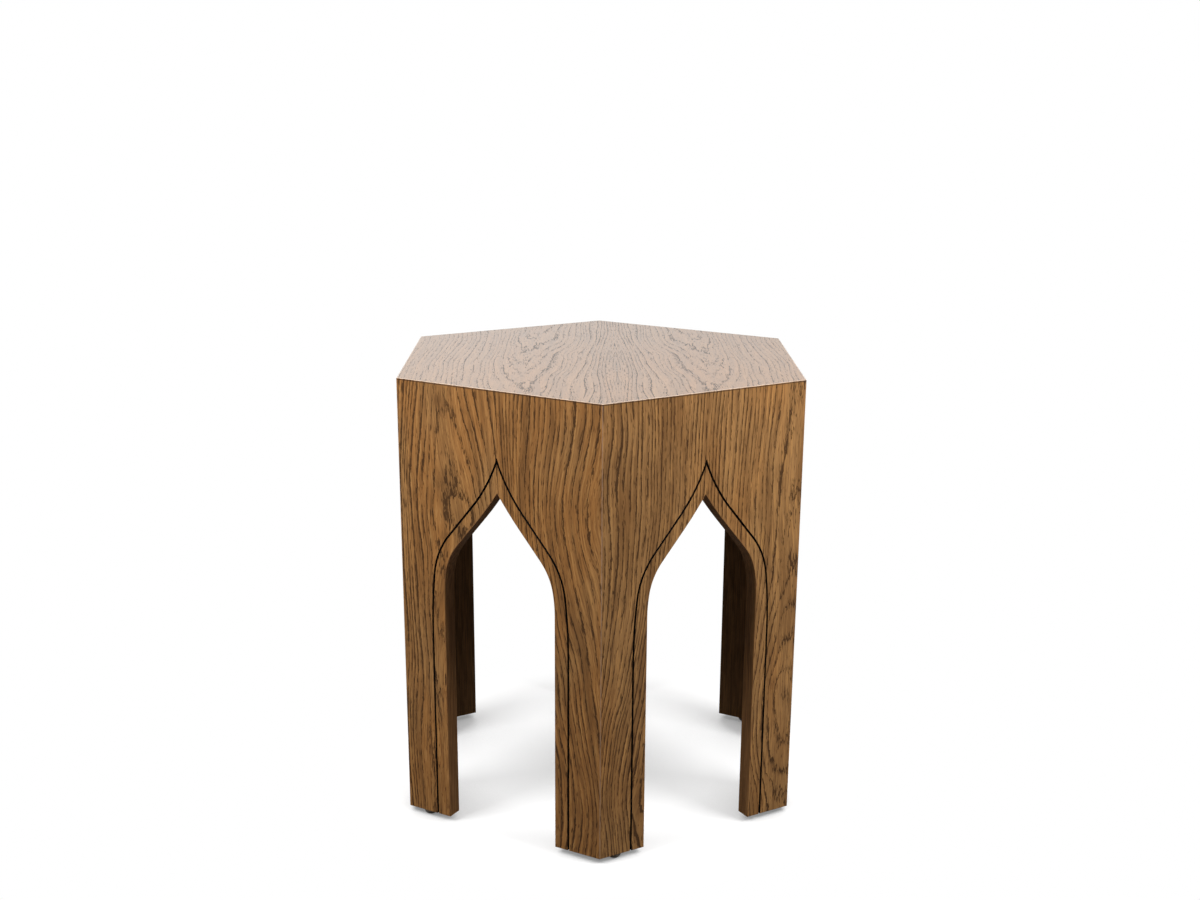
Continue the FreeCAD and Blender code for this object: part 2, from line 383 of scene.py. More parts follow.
class PanelPlace(EffectSheet):
    """Where a point lies on its side panel, in millimetres, and how squarely it faces out."""

    NAME = "Place on the panel"
    INPUTS = {"Turn": 0.0, "Face distance": 0.0}
    OUTPUTS = {"Place": Kind.VECTOR, "Facing": Kind.NUMBER}

    def write(self) -> None:
        """Write the effect's nodes."""
        turn, face_distance = self.take("Turn", "Face distance")
        back = self.math("MULTIPLY", turn, -1.0)
        x, y, z = self.parts(self.turned(self.point_mm(), back))
        normal = self.node("ShaderNodeNewGeometry").outputs["Normal"]
        forward = self.parts(self.turned(normal, back))[1]
        self.give(
            Place=self.vector(x, self.math("ADD", y, face_distance), z),
            Facing=self.math("MULTIPLY", forward, -1.0),
        )


class TopPlace(EffectSheet):
    """Where a point lies on the top, folded about the seam, and how far it is from the rim."""

    NAME = "Place on the top"
    INPUTS = {"Seam": 0.0, "Top level": 0.0, "Face distance": 0.0}
    OUTPUTS = {"Place": Kind.VECTOR, "Rim": Kind.NUMBER, "Seam distance": Kind.NUMBER}

    def write(self) -> None:
        """Write the effect's nodes."""
        seam, top_level, face_distance = self.take("Seam", "Top level", "Face distance")
        x, y, z = self.parts(self.point_mm())
        fold = self.math("ABSOLUTE", self.math("SUBTRACT", x, seam))
        depth = self.math("SUBTRACT", top_level, z)
        side_x = self.math("ABSOLUTE", x)
        slant_x = self.math("MULTIPLY", side_x, math.sin(SIDE_TURN / 2))
        slant_y = self.math("MULTIPLY", self.math("ABSOLUTE", y), math.cos(SIDE_TURN / 2))
        reach = self.math("MAXIMUM", side_x, self.math("ADD", slant_x, slant_y))
        self.give(
            Place=self.vector(fold, depth, y),
            Rim=self.math("SUBTRACT", face_distance, reach),
            Seam_distance=fold,
        )


class SoftPatch(EffectSheet):
    """How strongly a point lies in a soft oval area, times the area's amount."""

    NAME = "Soft patch"
    INPUTS = {"Place": ORIGIN, "Centre": ORIGIN, "Reach": (1.0, 1.0, 1.0), "Amount": 1.0, "Before": 0.0}
    OUTPUTS = {"Value": Kind.NUMBER}

    def write(self) -> None:
        """Write the effect's nodes."""
        place, centre, reach, amount, before = self.take(*self.INPUTS)
        off_centre = self.vector_math("SUBTRACT", place, centre).outputs["Vector"]
        x, _, z = self.parts(self.vector_math("DIVIDE", off_centre, reach).outputs["Vector"])
        square = self.math("ADD", self.math("MULTIPLY", x, x), self.math("MULTIPLY", z, z))
        bell = self.math("EXPONENT", self.math("MULTIPLY", square, -1.0))
        self.give(Value=self.math("ADD", before, self.math("MULTIPLY", bell, amount)))


class GrainWander(EffectSheet):
    """Which fibre a point is on: its place across the leaf, less the slow wander of the grain."""

    NAME = "Fibre"
    INPUTS = {"Place": ORIGIN, "Seed": 0.0}
    OUTPUTS = {"Fibre": Kind.NUMBER}

    DRIFT = Marks(55.0, 150.0)
    DRIFT_REACH = 20.0
    RIPPLE = Marks(16.0, 70.0)
    RIPPLE_REACH = 1.8

    def write(self) -> None:
        """Write the effect's nodes."""
        place, seed = self.take("Place", "Seed")
        across, _, along = self.parts(place)
        drift = self.sway(self.marks(across, along, self.DRIFT, seed), self.DRIFT_REACH)
        ripple = self.sway(self.marks(across, along, self.RIPPLE, seed), self.RIPPLE_REACH)
        self.give(Fibre=self.math("ADD", across, self.math("ADD", drift, ripple)))


class GrowthRings(EffectSheet):
    """Growth rings, counted outwards from the heart of a leaf, and the gap between them.

    The jags are the teeth of the rings near the heart. Wide and narrow years, which take turns every
    few rings, and a long wave make the gaps uneven. What differs between the two sides of the heart
    changes over smoothly beside it.
    """

    NAME = "Growth rings"
    NUMBERS = (
        "Fibre", "Heart across", "Heart rings", "Ring width", "Left ring width", "Right ring width",
        "Left crowding", "Far share", "Middle rings", "Left far", "Right far", "Wobble", "Jag width",
        "Uneven years", "Seed",
    )
    INPUTS = {"Place": ORIGIN, **dict.fromkeys(NUMBERS, 1.0)}
    OUTPUTS = {"Rings": Kind.NUMBER, "Gap": Kind.NUMBER}

    JAG = Marks(1.0, 20.0, detail=2.0, roughness=0.6)
    JAG_FADE = Step(8.0, 32.0, 1.3, 0.15)
    SIDE_CHANGE = 25.0
    FAR_CHANGE = 10.0
    FAR_START_SHARE = 0.5
    YEARS = Marks(4.5, 1.0)
    WAVE = Marks(28.0, 140.0)
    WAVE_RINGS = 0.7
    HEART_SOFTNESS = 2.0
    WIDEST_GAP = 9.0

    def write(self) -> None:
        """Write the effect's nodes."""
        fibre, heart_across, crowding = self.take("Fibre", "Heart across", "Left crowding")
        off_heart = self.math("SUBTRACT", fibre, heart_across)
        distance = self.math("ABSOLUTE", off_heart)
        count = self.heart_count(distance)
        depth = self.math("MULTIPLY", count, self.given["Ring width"])
        square = self.math("MULTIPLY", off_heart, off_heart)
        square = self.math("ADD", square, self.math("MULTIPLY", depth, depth))
        radius = self.math("SQRT", square)
        further = self.math("SUBTRACT", radius, depth)
        left_width, right_width = self.take("Left ring width", "Right ring width")
        width = self.ease(off_heart, Step(-self.SIDE_CHANGE, self.SIDE_CHANGE, left_width, right_width))
        per_mm = self.math("DIVIDE", 1.0, width)
        rings = self.math("MULTIPLY_ADD", further, per_mm, self.shown_count(count, off_heart))
        leftward = self.math("MAXIMUM", self.math("MULTIPLY", off_heart, -1.0), 0.0)
        crowd = self.math("MULTIPLY", self.math("MULTIPLY", leftward, leftward), crowding)
        rings = self.math("ADD", rings, crowd)
        # The gap is the slope's inverse. The crowding grows with a square, so its slope is doubled.
        slant = self.math("DIVIDE", radius, self.math("ADD", distance, self.HEART_SOFTNESS))
        crowd_slope = self.math("MULTIPLY", crowding, 2.0)
        steepness = self.math("MULTIPLY_ADD", leftward, crowd_slope, per_mm)
        gap = self.math("DIVIDE", slant, steepness)
        self.give(
            Rings=self.math("ADD", rings, self.unevenness(rings)),
            Gap=self.math("MINIMUM", gap, self.WIDEST_GAP),
        )

    def heart_count(self, distance: Feed) -> Socket:
        """How deep the middle of the log lay below the heart, in rings, with the jags of the grain.

        Args:
            distance: the point's distance from the heart.

        Returns:
            The count's socket.
        """
        place, seed, jag_width = self.take("Place", "Seed", "Jag width")
        across, _, along = self.parts(place)
        jag = self.marks(self.math("DIVIDE", across, jag_width), along, self.JAG, seed)
        reach = self.math("MULTIPLY", self.ease(distance, self.JAG_FADE), self.given["Wobble"])
        return self.math("ADD", self.given["Heart rings"], self.sway(jag, reach))

    def shown_count(self, count: Feed, off_heart: Feed) -> Socket:
        """How much of that depth shows. Far from the heart it is only a share of its change.

        Args:
            count: the depth, in rings.
            off_heart: the point's place, to the left or right of the heart.

        Returns:
            The shown count's socket.
        """
        left_far, right_far = self.take("Left far", "Right far")
        far_share, middle = self.take("Far share", "Middle rings")
        far_end = self.ease(off_heart, Step(-self.FAR_CHANGE, self.FAR_CHANGE, left_far, right_far))
        far_start = self.math("MULTIPLY", far_end, self.FAR_START_SHARE)
        distance = self.math("ABSOLUTE", off_heart)
        shown_share = self.ease(distance, Step(far_start, far_end, 1.0, far_share))
        return self.math("MULTIPLY_ADD", self.math("SUBTRACT", count, middle), shown_share, middle)

    def unevenness(self, rings: Feed) -> Socket:
        """What wide and narrow years and a long wave add to the rings.

        Args:
            rings: the even count.

        Returns:
            The addition's socket, in rings.
        """
        place, seed, uneven_years = self.take("Place", "Seed", "Uneven years")
        across, _, along = self.parts(place)
        years = self.sway(self.marks(rings, 0.0, self.YEARS, seed), uneven_years)
        wave = self.sway(self.marks(across, along, self.WAVE, seed), self.WAVE_RINGS)
        return self.math("ADD", years, self.math("MULTIPLY", wave, self.given["Wobble"]))


class OpenPores(EffectSheet):
    """The open pores of oak: a beaded dark line where each ring starts, and loose dashes after it."""

    NAME = "Oak pores"
    INPUTS = {"Place": ORIGIN, "Rings": 0.0, "Gap": 5.0, "Fibre": 0.0, "Line width": 2.0, "Seed": 0.0}
    OUTPUTS = {"Pores": Kind.NUMBER, "Early wood": Kind.NUMBER}

    BEAD = Marks(1.4, 6.0, detail=2.0, roughness=0.6)
    BEAD_RINGS = 0.32
    YEAR_STRENGTH = Step(0.0, 1.0, 0.66, 1.1)
    CLOUD = Marks(9.0, 55.0, detail=2.0)
    CLOUD_STRENGTH = Step(0.34, 0.60, 0.4, 1.15)
    RING_START = Step(0.0, 0.05)
    RING_END = Step(0.55, 0.95, 1.0, 0.0)
    LINE_CORE_SHARE = 0.3
    BAND_FADE = Step(0.8, 5.0, 1.0, 0.0)
    DASH = Marks(0.85, 9.0)
    DASH_SEED = 3.0
    DASH_LEVEL = 0.645
    DASH_SOFTNESS = 0.09
    LINE_DROP = 0.34
    BAND_DROP = Step(6.5, 9.0, 0.10, 0.22)

    def write(self) -> None:
        """Write the effect's nodes."""
        place, fibre, gap, seed = self.take("Place", "Fibre", "Gap", "Seed")
        across, _, along = self.parts(place)
        beads = self.sway(self.marks(fibre, along, self.BEAD, seed), self.BEAD_RINGS)
        edge_rings = self.math("ADD", self.given["Rings"], beads)
        phase = self.math("FRACT", edge_rings)
        past = self.math("MULTIPLY", phase, gap)
        strength = self.strength(edge_rings, self.marks(across, along, self.CLOUD, seed))
        strength = self.math("MULTIPLY", strength, self.ease(phase, self.RING_START))
        line_width = self.given["Line width"]
        line_core = self.math("MULTIPLY", line_width, self.LINE_CORE_SHARE)
        line = self.math("MULTIPLY", self.ease(past, Step(line_core, line_width, 1.0, 0.0)), strength)
        band = self.math("MULTIPLY", self.ease(past, self.BAND_FADE), strength)
        band = self.math("MULTIPLY", band, self.ease(phase, self.RING_END))
        line_drop = self.math("MULTIPLY", line, self.LINE_DROP)
        band_drop = self.math("MULTIPLY", band, self.ease(gap, self.BAND_DROP))
        low = self.math("SUBTRACT", self.DASH_LEVEL, self.math("ADD", line_drop, band_drop))
        high = self.math("ADD", low, self.DASH_SOFTNESS)
        dashes = self.marks(fibre, along, self.DASH, self.math("ADD", seed, self.DASH_SEED))
        self.give(Pores=self.ease(dashes, Step(low, high)), Early_wood=band)

    def strength(self, edge_rings: Feed, cloud: Feed) -> Socket:
        """How strong a ring's pores are: each year has its own strength, and clouds come and go.

        Args:
            edge_rings: the count of rings.
            cloud: the noise of the clouds.

        Returns:
            The strength's socket.
        """
        year = self.math("FLOOR", edge_rings)
        luck = self.node("ShaderNodeTexWhiteNoise", {"W": year}, noise_dimensions="1D").outputs["Value"]
        by_year = self.ease(luck, self.YEAR_STRENGTH)
        return self.math("MULTIPLY", by_year, self.ease(cloud, self.CLOUD_STRENGTH))


class StainedWood(EffectSheet):
    """The stained wood's colour, from its early wood and pores, with streaks and fine fibres."""

    NAME = "Oak colour"
    NUMBERS = ("Fibre", "Early wood", "Pores", "Shade", "Warmth", "Seed")
    COLOURS = (
        "Late colour", "Warm colour", "Fibre colour", "Early colour", "Streak colour", "Pore colour",
    )
    INPUTS = {"Place": ORIGIN, **dict.fromkeys(NUMBERS, 0.0), **dict.fromkeys(COLOURS, WHITE)}
    OUTPUTS = {"Colour": Kind.COLOUR}

    WARM_CLOUD = Marks(45.0, 140.0)
    WARM_SHARE = 0.3
    WARM_STEP = Step(0.48, 0.82)
    FINE = Marks(1.5, 30.0, detail=3.0, roughness=0.65)
    LIGHT_FIBRES = Step(0.50, 0.66)
    DARK_FIBRES = Step(0.50, 0.34, 0.0, 0.75)
    STREAK = Marks(10.0, 170.0, detail=3.0, roughness=0.55)
    STREAK_STEP = Step(0.44, 0.70, 0.0, 0.65)
    MOTTLE = Marks(4.0, 22.0, detail=4.0, roughness=0.65)
    MOTTLE_STEP = Step(0.32, 0.62, 0.15, 1.0)
    EARLY_SHARE = 0.55
    PORE_SHARE = 0.8

    def write(self) -> None:
        """Write the effect's nodes."""
        place, fibre, seed = self.take("Place", "Fibre", "Seed")
        late, warm, light, early, dark, pore = self.take(*self.COLOURS)
        across, _, along = self.parts(place)
        warmth = self.marks(across, along, self.WARM_CLOUD, seed)
        warmth = self.math("ADD", warmth, self.math("MULTIPLY", self.given["Warmth"], self.WARM_SHARE))
        colour = self.mix(self.ease(warmth, self.WARM_STEP), late, warm)
        fine = self.marks(fibre, along, self.FINE, seed)
        colour = self.mix(self.ease(fine, self.LIGHT_FIBRES), colour, light)
        colour = self.mix(self.ease(fine, self.DARK_FIBRES), colour, early)
        streak = self.ease(self.marks(fibre, along, self.STREAK, seed), self.STREAK_STEP)
        mottle = self.ease(self.marks(fibre, along, self.MOTTLE, seed), self.MOTTLE_STEP)
        shade = self.math("MULTIPLY", self.given["Shade"], mottle)
        colour = self.mix(self.math("MAXIMUM", streak, shade), colour, dark)
        early_share = self.math("MULTIPLY", self.given["Early wood"], self.EARLY_SHARE)
        colour = self.mix(early_share, colour, early)
        pore_share = self.math("MULTIPLY", self.given["Pores"], self.PORE_SHARE)
        self.give(Colour=self.mix(pore_share, colour, pore))


class PanelEdges(EffectSheet):
    """Where a panel's edges are worn pale with a painted highlight, and a dark line of painted shade just
    below the top.
    """

    NAME = "Panel edges"
    INPUTS = {"Place": ORIGIN, "Half side": 0.0, "Head": 0.0, "Foot": 0.0}
    OUTPUTS = {"Rubbed": Kind.NUMBER, "Glue line": Kind.NUMBER}

    FLECK = Marks(3.0, 9.0, detail=3.0, roughness=0.7)
    WORN_HIGHLIGHT_WIDTH = Step(0.3, 0.7, 0.5, 1.7)
    # Where the line of painted shade below the top starts and ends.
    LINE_START = Step(0.4, 0.7)
    LINE_END = Step(1.4, 2.2, 1.0, 0.0)

    def write(self) -> None:
        """Write the effect's nodes."""
        place, half_side, head, foot = self.take(*self.INPUTS)
        x, _, z = self.parts(place)
        from_corner = self.math("SUBTRACT", half_side, self.math("ABSOLUTE", x))
        # Near the corners and the foot the edge is worn pale, and the pale band is also a painted
        # highlight.
        nearest = self.math("MINIMUM", from_corner, self.math("SUBTRACT", z, foot))
        width = self.ease(self.marks(x, z, self.FLECK), self.WORN_HIGHLIGHT_WIDTH)
        # Just below the top's edge runs a line of painted shade.
        below = self.math("SUBTRACT", head, z)
        line = self.math("MULTIPLY", self.ease(below, self.LINE_START), self.ease(below, self.LINE_END))
        self.give(Rubbed=self.ease(nearest, Step(0.0, width, 1.0, 0.0)), Glue_line=line)


class StraightFibres(EffectSheet):
    """Fine straight grain, as on an edging strip, a spline or a block, with slow clouds in it."""

    NAME = "Straight fibres"
    INPUTS = {"Place": ORIGIN, "Seed": 0.0}
    OUTPUTS = {"Fibres": Kind.NUMBER, "Clouds": Kind.NUMBER}

    FIBRE = Marks(1.3, 42.0, detail=3.0, roughness=0.6)
    FIBRE_STEP = Step(0.36, 0.68)
    CLOUD = Marks(9.0, 70.0, detail=2.0)
    CLOUD_STEP = Step(0.35, 0.65)

    def write(self) -> None:
        """Write the effect's nodes."""
        self.give(
            Fibres=self.ease(self.solid_marks(self.FIBRE), self.FIBRE_STEP),
            Clouds=self.ease(self.solid_marks(self.CLOUD), self.CLOUD_STEP),
        )

    def solid_marks(self, marks: Marks) -> Socket:
        """Noise in long marks that are as deep as they are wide.

        Args:
            marks: how large the marks are.

        Returns:
            The noise's socket, from 0 to 1.
        """
        place, seed = self.take("Place", "Seed")
        size = (marks.across, marks.across, marks.along)
        shrunk = self.vector_math("DIVIDE", place, size).outputs["Vector"]
        return self.noise(shrunk, marks.detail, marks.roughness, seed)


class OakEffects:
    """The effects that the wood finishes share, each built once."""

    def __init__(self) -> None:
        """Build every effect."""
        self.panel_place = PanelPlace()
        self.top_place = TopPlace()
        self.patch = SoftPatch()
        self.fibre = GrainWander()
        self.rings = GrowthRings()
        self.pores = OpenPores()
        self.colour = StainedWood()
        self.panel_edges = PanelEdges()
        self.straight_fibres = StraightFibres()


class Finish(NodeSheet):
    """A material under way: its sheet and its shader."""

    def __init__(self, name: str) -> None:
        """Start a material.

        Args:
            name: the material's name.
        """
        self.material = bpy.data.materials.new(name)
        self.material.use_nodes = True
        super().__init__(self.material.node_tree)
        self.shader = self.node("ShaderNodeBsdfPrincipled")
        self.node("ShaderNodeOutputMaterial", {"Surface": self.shader.outputs["BSDF"]})

    def set(self, **inputs: Feed) -> None:
        """Fill the shader's inputs, named with _ for each space."""
        for name, value in inputs.items():
            self.feed(self.shader.inputs[name.replace("_", " ")], value)

    def effect(self, shared: EffectSheet, inputs: dict[str, Feed]) -> bpy.types.NodeOutputs:
        """Place a shared effect.

        Args:
            shared: the effect.
            inputs: values or outputs for its inputs.

        Returns:
            The outputs of the placed effect.
        """
        return self.node("ShaderNodeGroup", inputs, node_tree=shared.tree).outputs

    def curve(self, value: Feed, points: list[tuple[float, float]]) -> Socket:
        """A smooth curve through given points.

        Args:
            value: where on the curve.
            points: pairs of where and what, in order.

        Returns:
            What the curve gives there.
        """
        first, last = points[0][0], points[-1][0]
        values = [what for _, what in points]
        low = min(values)
        spread = (max(values) - low) or 1.0
        shares = [((where - first) / (last - first), (what - low) / spread) for where, what in points]
        share = self.math("DIVIDE", self.math("SUBTRACT", value, first), last - first)
        made = self.node("ShaderNodeFloatCurve", {"Value": share})
        line = made.mapping.curves[0]
        for inner in shares[1:-1]:
            line.points.new(*inner)
        for point, location in zip(line.points, shares):
            point.location = location
            point.handle_type = "AUTO"
        made.mapping.update()
        return self.math("MULTIPLY_ADD", made.outputs["Value"], spread, low)

    def relief(self, height: Feed, depth_mm: float) -> None:
        """Let a height from 0 to 1 press into the surface, by a depth in millimetres."""
        inputs = {"Height": height, "Strength": 1.0, "Distance": depth_mm / MM_PER_METRE}
        self.set(Normal=self.node("ShaderNodeBump", inputs).outputs["Normal"])


@dataclass(frozen=True)
class TableFrame:
    """The sizes that the finishes need, in millimetres, read from the frame's own solids."""

    face_distance: float
    half_side: float
    head: float
    foot: float
    seam: float

    @classmethod
    def read(cls) -> "TableFrame":
        """Measure the frame.

        Returns:
            The table's sizes.
        """
        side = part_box("right_face_veneer")[1].x * MM_PER_METRE
        return cls(
            face_distance=side,
            half_side=side * math.tan(SIDE_TURN / 2),
            head=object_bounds()[1].z * MM_PER_METRE,
            foot=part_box("right_core_board")[0].z * MM_PER_METRE,
            seam=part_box("top_veneer_right")[0].x * MM_PER_METRE,
        )


@dataclass(frozen=True)
class Heart:
    """The line where a leaf was cut nearest to the middle of the log. In millimetres.

    Each point of the path gives a level along the leaf, the heart's place across the leaf there,
    and how deep the middle of the log lay below it, counted in growth rings. The ring width turns
    that depth into millimetres, and the left and right ring widths are those on either side. The
    count is added to all rings. The rings crowd together to the left of the heart. Past the far
    distance on either side, only a share of the depth's change from the middle rings shows, so that
    the lines there run straighter.
    """

    path: tuple[tuple[float, float, float], ...]
    ring_width: float
    left_ring_width: float
    right_ring_width: float
    count: float = 0.0
    left_crowding: float = 0.0
    far_share: float = 1.0
    middle_rings: float = 0.0
    left_far: float = 90.0
    right_far: float = 50.0


@dataclass(frozen=True)
class Patch:
    """A soft oval area of a leaf, in millimetres, and how strongly something happens in it."""

    across: float
    along: float
    reach_across: float
    reach_along: float
    amount: float


@dataclass(frozen=True)
class Figure:
    """The grain of one veneer leaf, in millimetres across and along it.

    Bends shift the fibres sideways, in millimetres. Swells add growth rings. Shades darken the wood.
    The warmth runs from 0, olive brown, to 1, orange brown. The wobble is how wavy the rings are, the
    jag width is how wide their teeth are, and the uneven years make wide rings and narrow ones.
    """

    hearts: tuple[Heart, ...]
    seed: float
    warmth: float = 0.5
    wobble: float = 1.0
    jag_width: float = 2.2
    uneven_years: float = 3.0
    bends: tuple[Patch, ...] = ()
    swells: tuple[Patch, ...] = ()
    shades: tuple[Patch, ...] = ()


@dataclass(frozen=True)
class OakStain:
    """The colours and the lacquer of stained oak. The pore depth is in millimetres."""

    late_wood: Colour
    warm_wood: Colour
    light_fibre: Colour
    early_wood: Colour
    streak: Colour
    pore: Colour
    sheen: float
    sheen_roughness: float
    pore_sheen: float
    line_width: float
    roughness: float = 0.5
    pore_roughness: float = 0.85
    wood_shine: float = 0.1
    pore_depth: float = 0.08


@dataclass(frozen=True)
class OakVeneer:
    """Stained oak veneer with its own figure. Where two hearts' rings meet they blend over a ring."""

    effects: OakEffects
    oak: OakStain
    figure: Figure
    meeting_rings: float = 1.0

    def patches(self, finish: Finish, place: Feed, patches: tuple[Patch, ...], before: Feed) -> Feed:
        """Add up soft patches.

        Args:
            finish: the material under way.
            place: the point on the leaf.
            patches: the patches.
            before: the value that they are added to.

        Returns:
            The sum.
        """
        for patch in patches:
            before = finish.effect(self.effects.patch, {
                "Place": place,
                "Centre": (patch.across, 0.0, patch.along),
                "Reach": (patch.reach_across, 1.0, patch.reach_along),
                "Amount": patch.amount,
                "Before": before,
            })["Value"]
        return before

    def heart_rings(self, finish: Finish, place: Feed, fibre: Feed, heart: Heart) -> tuple[Feed, Feed]:
        """Count the growth rings round one heart.

        Args:
            finish: the material under way.
            place: the point on the leaf.
            fibre: the fibre that it is on.
            heart: the heart.

        Returns:
            The number of growth rings, and the gap between them in millimetres.
        """
        level = finish.parts(place)[2]
        rings = finish.effect(self.effects.rings, {
            "Place": place,
            "Fibre": fibre,
            "Heart across": finish.curve(level, [(at, across) for at, across, _ in heart.path]),
            "Heart rings": finish.curve(level, [(at, depth) for at, _, depth in heart.path]),
            "Ring width": heart.ring_width,
            "Left ring width": heart.left_ring_width,
            "Right ring width": heart.right_ring_width,
            "Left crowding": heart.left_crowding,
            "Far share": heart.far_share,
            "Middle rings": heart.middle_rings,
            "Left far": heart.left_far,
            "Right far": heart.right_far,
            "Wobble": self.figure.wobble,
            "Jag width": self.figure.jag_width,
            "Uneven years": self.figure.uneven_years,
            "Seed": self.figure.seed,
        })
        return finish.math("ADD", rings["Rings"], heart.count), rings["Gap"]

    def wood(self, finish: Finish, place: Feed) -> tuple[Socket, Socket]:
        """Write the wood itself.

        Args:
            finish: the material under way.
            place: the point on the leaf, in millimetres: X across, Z along.

        Returns:
            The wood's colour and its pores.
        """
        figure, oak = self.figure, self.oak
        fibre = finish.effect(self.effects.fibre, {"Place": place, "Seed": figure.seed})["Fibre"]
        fibre = self.patches(finish, place, figure.bends, fibre)
        rings, gap = self.heart_rings(finish, place, fibre, figure.hearts[0])
        for heart in figure.hearts[1:]:
            other_rings, other_gap = self.heart_rings(finish, place, fibre, heart)
            nearer = finish.math("LESS_THAN", other_rings, rings)
            gap = finish.between(nearer, gap, other_gap)
            rings = finish.math("SMOOTH_MIN", rings, other_rings, self.meeting_rings)
        pores = finish.effect(self.effects.pores, {
            "Place": place,
            "Rings": self.patches(finish, place, figure.swells, rings),
            "Gap": gap,
            "Fibre": fibre,
            "Line width": oak.line_width,
            "Seed": figure.seed,
        })
        colour = finish.effect(self.effects.colour, {
            "Place": place,
            "Fibre": fibre,
            "Early wood": pores["Early wood"],
            "Pores": pores["Pores"],
            "Shade": self.patches(finish, place, figure.shades, 0.0),
            "Late colour": oak.late_wood,
            "Warm colour": oak.warm_wood,
            "Fibre colour": oak.light_fibre,
            "Early colour": oak.early_wood,
            "Streak colour": oak.streak,
            "Pore colour": oak.pore,
            "Warmth": figure.warmth,
            "Seed": figure.seed,
        })
        return colour["Colour"], pores["Pores"]

    def lacquer(self, finish: Finish, pores: Feed) -> None:
        """Lay a satin lacquer over the wood, broken at the open pores.

        Args:
            finish: the material under way.
            pores: the wood's pores.
        """
        oak = self.oak
        finish.set(
            Roughness=finish.between(pores, oak.roughness, oak.pore_roughness),
            Specular_IOR_Level=oak.wood_shine,
            Coat_Weight=finish.between(pores, oak.sheen, oak.pore_sheen),
            Coat_Roughness=oak.sheen_roughness,
        )
        finish.relief(finish.math("SUBTRACT", 1.0, pores), oak.pore_depth)


@dataclass(frozen=True)
class PlainWood:
    """Plain wood with fine straight grain, in a light and a dark colour. Its relief is in millimetres."""

    light: Colour
    dark: Colour
    roughness: float
    valley_roughness: float = 0.15
    cloud_share: float = 0.35
    shine: float = 0.25
    fibre_relief: float = 0.05

    def lay(self, finish: Finish, effects: OakEffects, place: Feed, seed: float) -> Socket:
        """Dress a finish in this wood.

        Args:
            finish: the material under way.
            effects: the shared effects.
            place: the point on the piece, in millimetres, with Z along the grain.
            seed: which stretch of the grain it is.

        Returns:
            The wood's colour.
        """
        grain = finish.effect(effects.straight_fibres, {"Place": place, "Seed": seed})
        colour = finish.mix(grain["Fibres"], self.dark, self.light)
        cloud = finish.math("MULTIPLY", grain["Clouds"], self.cloud_share)
        colour = finish.mix(cloud, colour, self.dark)
        matt = self.roughness + self.valley_roughness
        finish.set(
            Base_Color=colour,
            Roughness=finish.between(grain["Fibres"], matt, self.roughness),
            Specular_IOR_Level=self.shine,
        )
        finish.relief(grain["Fibres"], self.fibre_relief)
        return colour


SIDE_OAK = OakStain(
    late_wood=stain(163, 121, 75),
    warm_wood=stain(167, 115, 63),
    light_fibre=stain(188, 138, 82),
    early_wood=stain(112, 77, 43),
    streak=stain(116, 80, 45),
    pore=stain(58, 38, 22),
    sheen=0.3,
    sheen_roughness=0.35,
    pore_sheen=0.15,
    line_width=1.8,
)
TOP_OAK = OakStain(
    late_wood=stain(146, 110, 73),
    warm_wood=stain(147, 108, 69),
    light_fibre=stain(155, 117, 78),
    early_wood=stain(126, 96, 68),
    streak=stain(126, 96, 68),
    pore=stain(68, 54, 44),
    sheen=1.0,
    sheen_roughness=0.12,
    pore_sheen=0.65,
    line_width=1.0,
)
EDGING_OAK = PlainWood(light=stain(174, 125, 76), dark=stain(126, 87, 50), roughness=0.5)
INNER_OAK = PlainWood(light=stain(152, 110, 66), dark=stain(106, 75, 45), roughness=0.6)
BLOCK_WOOD = replace(INNER_OAK, roughness=0.7)
CORE_BOARD = PlainWood(light=stain(150, 118, 82), dark=stain(122, 92, 60), roughness=0.8)
SPLINE_PLYWOOD = replace(CORE_BOARD, roughness=0.75)
WHOLE_TABLE_SEED = 53.0
GROOVE_BLACK = stain(14, 11, 9)
# Worn pale edges, with a painted highlight where light catches the eased corners.
WORN_EDGE_HIGHLIGHT = stain(176, 142, 116)
# A pale rim round the top: wear, and a painted highlight on its rounded edge.
RIM_WEAR_AND_HIGHLIGHT = stain(200, 178, 158)
# Dark brown for the real seam between the top's leaves, and for the painted shade line just below the
# panels' top edge.
SEAM_AND_SHADE_BROWN = stain(70, 44, 24)

